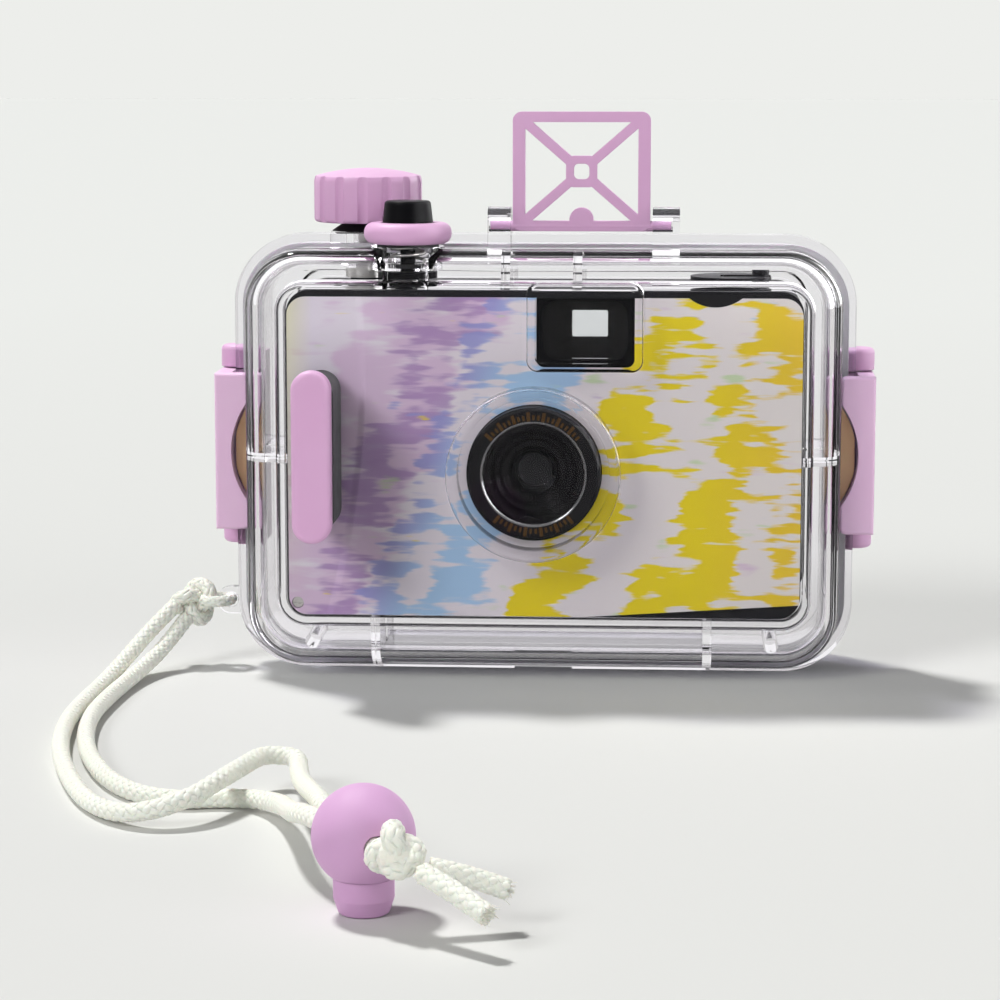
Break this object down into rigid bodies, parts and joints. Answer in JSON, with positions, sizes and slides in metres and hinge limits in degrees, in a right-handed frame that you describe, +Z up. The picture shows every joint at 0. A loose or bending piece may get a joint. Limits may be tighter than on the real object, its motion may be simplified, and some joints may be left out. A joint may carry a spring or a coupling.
{
  "type": "underwater camera",
  "caption": "Clear waterproof housing with side latches, fold-down sight and sealed controls round a simple film camera with a patterned face, on a braided wrist cord.",
  "frame": {"origin": "on the base, in the parting plane of the two shells, midway between the sides", "axes": "+Z up, +X towards the right of a viewer in front of the lens, +Y from the lens to the back"},
  "size_m": [0.1546, 0.2245, 0.1129],
  "materials": {
    "clear_polycarbonate": "clear, polished",
    "silicone_seal": "translucent, smooth",
    "lilac_plastic": "satin moulded",
    "amber_silicone": "soft, satin",
    "stainless_steel": "turned, bright",
    "black_plastic": "fine moulded texture",
    "black_rubber": "matte",
    "printed_panel": "satin print in lilac, blue, white and yellow",
    "lens_glass": "polished",
    "blackened_steel": "matte black",
    "white_plastic": "satin",
    "cream_cord": "braided"
  },
  "bodies": {
    "housing": {"front_shell": "clear_polycarbonate", "rear_shell": "clear_polycarbonate", "shell_gasket": "silicone_seal", "latch_bracket_left": "lilac_plastic", "latch_bracket_right": "lilac_plastic", "latch_pin_left": "stainless_steel", "latch_pin_right": "stainless_steel", "latch_pad_left": "amber_silicone", "latch_pad_right": "amber_silicone", "grip_block": "black_rubber", "grip_cap": "lilac_plastic", "button_collar": "lilac_plastic", "button_washer": "black_rubber", "button_seal": "black_rubber", "wind_washer": "black_rubber", "camera_chassis": "black_plastic", "front_cover": "black_plastic", "top_cover": "black_plastic", "back_door": "black_plastic", "door_pin": "stainless_steel", "print_panel": "printed_panel", "cover_screw": "stainless_steel", "finder_tunnel": "black_plastic", "finder_lens": "lens_glass", "eyepiece_lens": "lens_glass", "lens_bezel": "black_plastic", "lens_barrel": "black_plastic", "front_element": "lens_glass", "rear_element": "lens_glass", "lens_board": "black_plastic", "shutter_plate": "black_plastic", "counter_window": "clear_polycarbonate", "pressure_plate": "stainless_steel", "plate_spring": "stainless_steel", "lug_knot": "cream_cord", "strap_strand_a": "cream_cord", "strap_strand_b": "cream_cord", "stopper_ball": "lilac_plastic", "end_knot": "cream_cord", "strap_tail_a": "cream_cord", "strap_tail_b": "cream_cord", "button_spring": "stainless_steel", "stopper_spring": "stainless_steel"},
    "latch_left": {"latch_left": "lilac_plastic"},
    "latch_right": {"latch_right": "lilac_plastic"},
    "sight": {"sight_frame": "lilac_plastic"},
    "shutter_press": {"button_cap": "black_plastic", "button_plunger": "stainless_steel"},
    "camera_release": {"camera_button": "black_plastic"},
    "wind": {"wind_knob": "lilac_plastic", "wind_shaft": "stainless_steel"},
    "take_up": {"take_up_spool": "black_plastic", "advance_wheel": "black_plastic"},
    "sprocket": {"sprocket_shaft": "black_plastic"},
    "counter": {"counter_dial": "white_plastic"},
    "rewind": {"rewind_shaft": "stainless_steel", "rewind_crank": "black_plastic"},
    "blade": {"shutter_blade": "blackened_steel"},
    "plunger": {"stopper_plunger": "lilac_plastic"}
  },
  "joints": [
    {"name": "latch_left_swing", "type": "hinge", "parent": "housing", "child": "latch_left", "pos_m": [-0.0633, 0.0072, 0.04465], "axis": [0, 0, -1], "range_deg": [0, 105]},
    {"name": "latch_right_swing", "type": "hinge", "parent": "housing", "child": "latch_right", "pos_m": [0.0633, 0.0072, 0.04465], "axis": [0, 0, 1], "range_deg": [0, 105]},
    {"name": "sight_fold", "type": "hinge", "parent": "housing", "child": "sight", "pos_m": [0.0075, -0.004, 0.09025], "axis": [-1, 0, 0], "range_deg": [0, 90]},
    {"name": "shutter_slide", "type": "slide", "parent": "housing", "child": "shutter_press", "axis": [0, 0, -1], "range_m": [0, 0.0015], "stiffness_N_per_m": 400, "springref_m": -0.002, "deforming": ["button_spring"]},
    {"name": "release_slide", "type": "slide", "parent": "housing", "child": "camera_release", "axis": [0, 0, -1], "range_m": [0, 0.0015]},
    {"name": "wind_turn", "type": "hinge", "parent": "housing", "child": "wind", "pos_m": [-0.0367, 0.01, 0.09], "axis": [0, 0, 1], "continuous": true},
    {"name": "take_up_turn", "type": "hinge", "parent": "housing", "child": "take_up", "pos_m": [-0.0367, 0.01, 0.06], "axis": [0, 0, 1], "continuous": true},
    {"name": "sprocket_turn", "type": "hinge", "parent": "housing", "child": "sprocket", "pos_m": [-0.0243, 0.0086, 0.0426], "axis": [0, 0, 1], "continuous": true},
    {"name": "counter_turn", "type": "hinge", "parent": "housing", "child": "counter", "pos_m": [-0.0136, 0.003, 0.073], "axis": [0, 0, 1], "continuous": true},
    {"name": "rewind_turn", "type": "hinge", "parent": "housing", "child": "rewind", "pos_m": [0.0375, -0.0005, 0.079], "axis": [0, 0, 1], "continuous": true},
    {"name": "blade_swing", "type": "hinge", "parent": "housing", "child": "blade", "pos_m": [0.0044, -0.01315, 0.0382], "axis": [0, 1, 0], "range_deg": [0, 32], "stiffness_Nm_per_rad": 0.0002, "springref_deg": -20.05},
    {"name": "plunger_slide", "type": "slide", "parent": "housing", "child": "plunger", "axis": [0, 0, 1], "range_m": [0, 0.002], "stiffness_N_per_m": 900, "springref_m": -0.002, "deforming": ["stopper_spring"]}
  ],
  "couplings": [
    {"joint": "release_slide", "follows": "shutter_slide", "ratio": 1},
    {"joint": "take_up_turn", "follows": "wind_turn", "ratio": 1},
    {"joint": "counter_turn", "follows": "sprocket_turn", "ratio": -0.026316}
  ]
}
